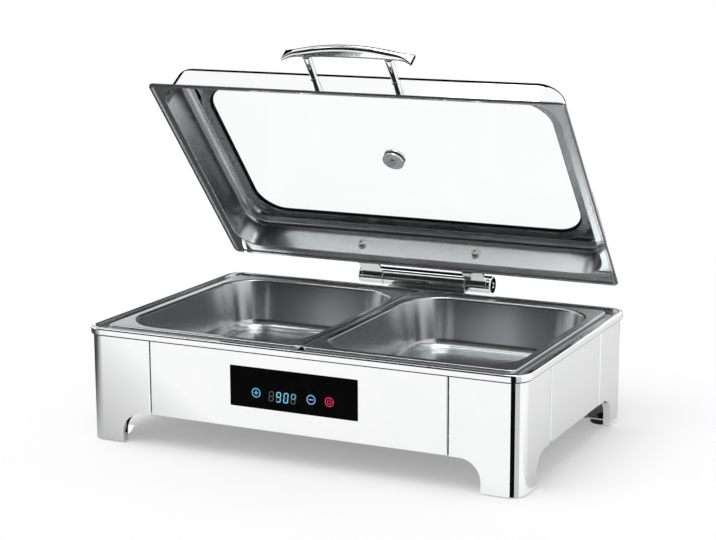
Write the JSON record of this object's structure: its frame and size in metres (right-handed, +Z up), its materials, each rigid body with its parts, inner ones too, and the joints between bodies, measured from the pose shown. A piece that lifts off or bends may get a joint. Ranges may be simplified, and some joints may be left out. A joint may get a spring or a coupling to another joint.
{
  "type": "electric chafing dish",
  "caption": "Electric chafing dish: stainless base on legs, digital control, food pans side by side over a water pan, and a hinged lid with a glass window and bow handle.",
  "frame": {"origin": "middle of the whole object's footprint, on the surface it stands on, with the lid half open as in the rest pose", "axes": "+X to the user's right, +Y from the front control panel to the rear hinge, +Z up"},
  "size_m": [0.568, 0.3976, 0.4783],
  "materials": {
    "polished_stainless": "mirror polished stainless steel",
    "satin_stainless": "satin stainless steel",
    "plated_steel": "zinc plated steel",
    "aluminium": "rolled aluminium",
    "black_glass": "black glass, gloss",
    "clear_glass": "clear toughened glass",
    "black_silicone": "matt silicone rubber",
    "black_rubber": "matt rubber",
    "ceramic": "unglazed ceramic",
    "black_plastic": "matt moulded plastic",
    "circuit_board": "green solder mask",
    "blue_plastic": "gloss moulded plastic",
    "dark_display": "smoked plastic",
    "brass": "plated brass",
    "lead_insulation": "silicone sleeving",
    "damper_body": "damper cartridge"
  },
  "bodies": {
    "base": {"top_frame": "polished_stainless", "leg_front_left": "polished_stainless", "leg_front_right": "polished_stainless", "leg_rear_left": "polished_stainless", "leg_rear_right": "polished_stainless", "front_panel": "polished_stainless", "rear_panel": "polished_stainless", "left_panel": "polished_stainless", "right_panel": "polished_stainless", "bottom_tray": "satin_stainless", "rubber_feet": "black_rubber", "seam_screws": "plated_steel", "seam_nuts": "plated_steel", "tray_screws": "plated_steel", "heater_plate": "aluminium", "heating_tube": "satin_stainless", "element_terminals": "ceramic", "element_clamps": "plated_steel", "heater_standoffs": "plated_steel", "heat_reflector": "aluminium", "temperature_probe": "satin_stainless", "thermal_cutout": "black_plastic", "control_fascia": "black_glass", "control_housing": "black_plastic", "housing_nuts": "plated_steel", "control_board": "circuit_board", "display_module": "dark_display", "touch_springs": "plated_steel", "power_board": "circuit_board", "transformer": "dark_display", "power_relay": "blue_plastic", "inlet_socket": "black_plastic", "inlet_pins": "brass", "inlet_screws": "plated_steel", "supply_leads": "lead_insulation", "board_leads": "lead_insulation", "hinge_bracket": "satin_stainless", "bracket_screws": "plated_steel", "hinge_barrel": "polished_stainless", "hinge_damper": "damper_body"},
    "water_pan": {"water_pan": "satin_stainless"},
    "left_food_pan": {"left_food_pan": "satin_stainless"},
    "right_food_pan": {"right_food_pan": "satin_stainless"},
    "lid": {"hinge_shaft": "satin_stainless", "left_lid_arm": "polished_stainless", "right_lid_arm": "polished_stainless", "hinge_end_caps": "polished_stainless", "lid_bolts": "plated_steel", "lid_bolt_washers": "plated_steel", "lid_bolt_nuts": "plated_steel", "lid_shell": "polished_stainless", "glass_gasket": "black_silicone", "window_glass": "clear_glass", "glass_retainer": "satin_stainless", "vent_base": "polished_stainless", "vent_pivot": "plated_steel", "handle_bar": "polished_stainless", "handle_posts": "polished_stainless", "handle_screws": "plated_steel"},
    "vent_shutter": {"vent_shutter": "polished_stainless"}
  },
  "joints": [
    {"name": "lid_hinge", "type": "hinge", "parent": "base", "child": "lid", "pos_m": [0, 0.1868, 0.1499], "axis": [-1, 0, 0], "range_deg": [-49.4, 40.6]},
    {"name": "water_pan_lift", "type": "slide", "parent": "base", "child": "water_pan", "axis": [0, 0, 1], "range_m": [0, 0.025]},
    {"name": "left_food_pan_lift", "type": "slide", "parent": "water_pan", "child": "left_food_pan", "axis": [0, 0, 1], "range_m": [0, 0.033]},
    {"name": "right_food_pan_lift", "type": "slide", "parent": "water_pan", "child": "right_food_pan", "axis": [0, 0, 1], "range_m": [0, 0.033]},
    {"name": "vent_shutter_turn", "type": "hinge", "parent": "lid", "child": "vent_shutter", "pos_m": [0, 0.08659, 0.3269], "axis": [0, 0.7593, 0.6508], "range_deg": [0, 45]}
  ]
}
